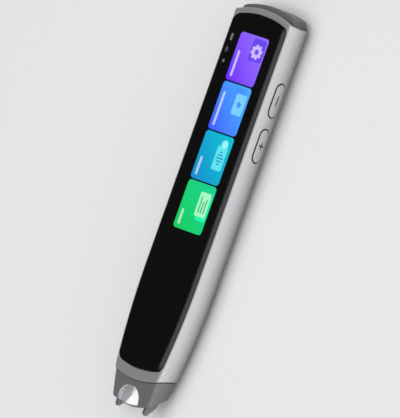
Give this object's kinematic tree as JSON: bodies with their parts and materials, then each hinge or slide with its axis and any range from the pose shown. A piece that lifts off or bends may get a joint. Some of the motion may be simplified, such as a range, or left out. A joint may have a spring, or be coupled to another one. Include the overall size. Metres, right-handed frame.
{
  "type": "scanning pen",
  "caption": "Slim handheld scanning pen with a long screen under glass, side keys, a rear speaker grille, an end cap and a sprung scanning tip.",
  "frame": {"origin": "on the flat of the back, on the centre line and halfway along the pen", "axes": "+X towards the side with the keys, +Y along the pen towards the end cap, +Z out of the screen"},
  "size_m": [0.0288, 0.1506, 0.0132],
  "materials": {
    "sleeve_metal": "bead-blasted and anodised grey, satin",
    "key_metal": "bead-blasted and anodised grey, satin",
    "cover_glass": "black-backed, polished, with rounded long edges",
    "display": "smooth, lit from behind",
    "clear_pane": "clear moulded plastic, polished",
    "lens_glass": "polished",
    "cap_plastic": "fine satin texture",
    "nose_plastic": "fine satin texture",
    "fork_plastic": "smooth, low friction",
    "chassis_plastic": "as moulded",
    "black_plastic": "as moulded",
    "white_plastic": "milky, light passes through",
    "circuit_board": "green solder mask",
    "battery_wrap": "smooth foil pouch",
    "black_foam": "soft foam and adhesive",
    "lamp": "clear resin over phosphor",
    "steel": "plain stamped or drawn",
    "brass": "plain turned"
  },
  "bodies": {
    "pen": {"body_sleeve": "sleeve_metal", "cover_glass": "cover_glass", "glass_gasket": "black_foam", "display_panel": "display", "display_tray": "steel", "top_cap": "cap_plastic", "nose_shell": "nose_plastic", "tip_window": "clear_pane", "side_key_board": "circuit_board", "minus_switch": "steel", "plus_switch": "steel", "speaker_gasket": "black_foam", "speaker_unit": "black_plastic", "inner_chassis": "chassis_plastic", "main_board": "circuit_board", "processor_shield": "steel", "microphone": "steel", "battery_cell": "battery_wrap", "board_screw_1": "steel", "board_screw_2": "steel", "board_screw_3": "steel", "board_screw_4": "steel", "charging_socket": "steel", "tip_switch": "black_plastic", "tip_spring_left": "steel", "tip_spring_right": "steel", "camera_board": "circuit_board", "camera_housing": "black_plastic", "camera_lens": "lens_glass", "lamp_board": "white_plastic", "lamp_left": "lamp", "lamp_right": "lamp", "light_diffuser": "white_plastic"},
    "minus_key": {"minus_key": "key_metal"},
    "plus_key": {"plus_key": "key_metal"},
    "minus_plunger": {"minus_switch_plunger": "black_plastic"},
    "plus_plunger": {"plus_switch_plunger": "black_plastic"},
    "fork": {"tip_fork": "fork_plastic"},
    "tip_plunger": {"tip_switch_plunger": "brass"}
  },
  "joints": [
    {"name": "minus_key_press", "type": "slide", "parent": "pen", "child": "minus_key", "axis": [-1, 0, 0], "range_m": [0, 0.0005], "stiffness_N_per_m": 1200, "springref_m": -0.0005},
    {"name": "minus_plunger_press", "type": "slide", "parent": "pen", "child": "minus_plunger", "axis": [-1, 0, 0], "range_m": [0, 0.0005]},
    {"name": "plus_key_press", "type": "slide", "parent": "pen", "child": "plus_key", "axis": [-1, 0, 0], "range_m": [0, 0.0005], "stiffness_N_per_m": 1200, "springref_m": -0.0005},
    {"name": "plus_plunger_press", "type": "slide", "parent": "pen", "child": "plus_plunger", "axis": [-1, 0, 0], "range_m": [0, 0.0005]},
    {"name": "tip_press", "type": "slide", "parent": "pen", "child": "fork", "axis": [0, 1, 0], "range_m": [0, 0.001], "stiffness_N_per_m": 400, "springref_m": -0.002, "deforming": ["tip_spring_left", "tip_spring_right"]},
    {"name": "tip_plunger_press", "type": "slide", "parent": "pen", "child": "tip_plunger", "axis": [0, 1, 0], "range_m": [0, 0.001]}
  ],
  "couplings": [
    {"joint": "minus_plunger_press", "follows": "minus_key_press", "ratio": 1},
    {"joint": "plus_plunger_press", "follows": "plus_key_press", "ratio": 1},
    {"joint": "tip_plunger_press", "follows": "tip_press", "ratio": 1}
  ]
}
